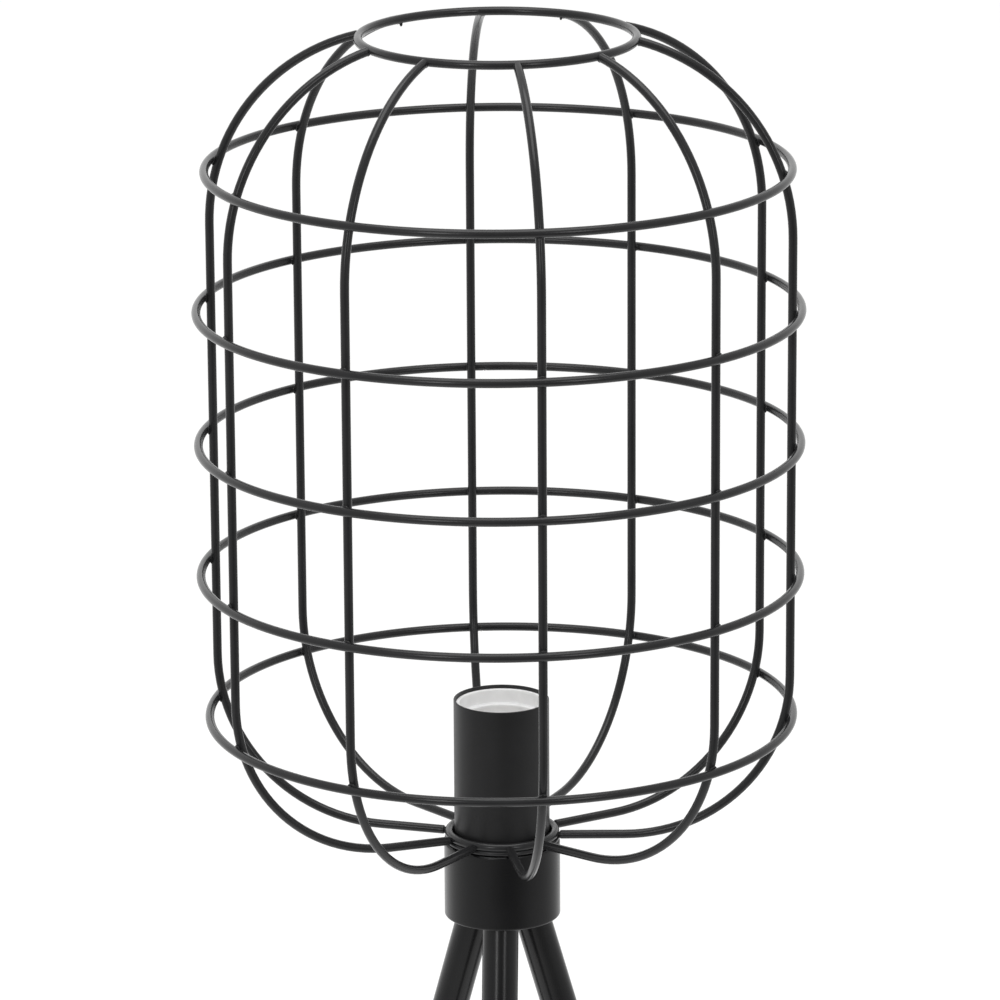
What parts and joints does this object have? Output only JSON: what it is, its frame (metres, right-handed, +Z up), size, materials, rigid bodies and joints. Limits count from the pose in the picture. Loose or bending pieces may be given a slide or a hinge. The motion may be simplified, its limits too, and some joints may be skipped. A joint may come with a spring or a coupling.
{
  "type": "wire cage floor lamp",
  "caption": "Floor lamp with an open round-wire cage around an upright lamp socket, on a small collar with splayed tube legs.",
  "frame": {"origin": "on the lamp's upright axis, through the socket and the cage, at floor level", "axes": "+Z up along the axis of the socket and cage; -Y towards the front leg; +X to the right seen from the front"},
  "size_m": [0.6014, 0.5238, 1.5],
  "materials": {
    "black_powder_coat": "satin black powder coat",
    "white_porcelain": "white glazed porcelain, opaque",
    "nickel_plated_brass": "nickel-plated brass",
    "zinc_plated_steel": "bright zinc plating",
    "black_nylon": "moulded black nylon",
    "black_rubber": "matt black rubber"
  },
  "bodies": {
    "lamp": {"cage_rib_01": "black_powder_coat", "cage_rib_02": "black_powder_coat", "cage_rib_03": "black_powder_coat", "cage_rib_04": "black_powder_coat", "cage_rib_05": "black_powder_coat", "cage_rib_06": "black_powder_coat", "cage_rib_07": "black_powder_coat", "cage_rib_08": "black_powder_coat", "cage_rib_09": "black_powder_coat", "cage_rib_10": "black_powder_coat", "cage_hoop_1": "black_powder_coat", "cage_hoop_2": "black_powder_coat", "cage_hoop_3": "black_powder_coat", "cage_hoop_4": "black_powder_coat", "cage_hoop_5": "black_powder_coat", "cage_top_ring": "black_powder_coat", "cage_foot_ring_upper": "black_powder_coat", "cage_foot_ring_lower": "black_powder_coat", "cage_seat_disc": "black_powder_coat", "lampholder_cup": "black_powder_coat", "collar": "black_powder_coat", "leg_front": "black_powder_coat", "leg_right": "black_powder_coat", "leg_left": "black_powder_coat", "lampholder_body": "white_porcelain", "threaded_shell": "nickel_plated_brass", "terminal_neutral": "nickel_plated_brass", "terminal_live": "nickel_plated_brass", "contact_spring": "zinc_plated_steel", "terminal_screws": "zinc_plated_steel", "lampholder_bracket": "zinc_plated_steel", "bracket_screws": "zinc_plated_steel", "nipple_nuts": "zinc_plated_steel", "toothed_washers": "zinc_plated_steel", "threaded_nipple": "zinc_plated_steel", "leg_hub": "zinc_plated_steel", "hub_screws": "zinc_plated_steel", "earth_screw": "zinc_plated_steel", "leg_studs": "zinc_plated_steel", "cable_bush": "black_nylon", "foot_front": "black_rubber", "foot_right": "black_rubber", "foot_left": "black_rubber"},
    "contact": {"centre_contact": "nickel_plated_brass"}
  },
  "joints": [
    {"name": "contact_press", "type": "slide", "parent": "lamp", "child": "contact", "axis": [0, 0, -1], "range_m": [0, 0.0015], "stiffness_N_per_m": 3000, "springref_m": -0.001, "deforming": ["contact_spring"]}
  ]
}
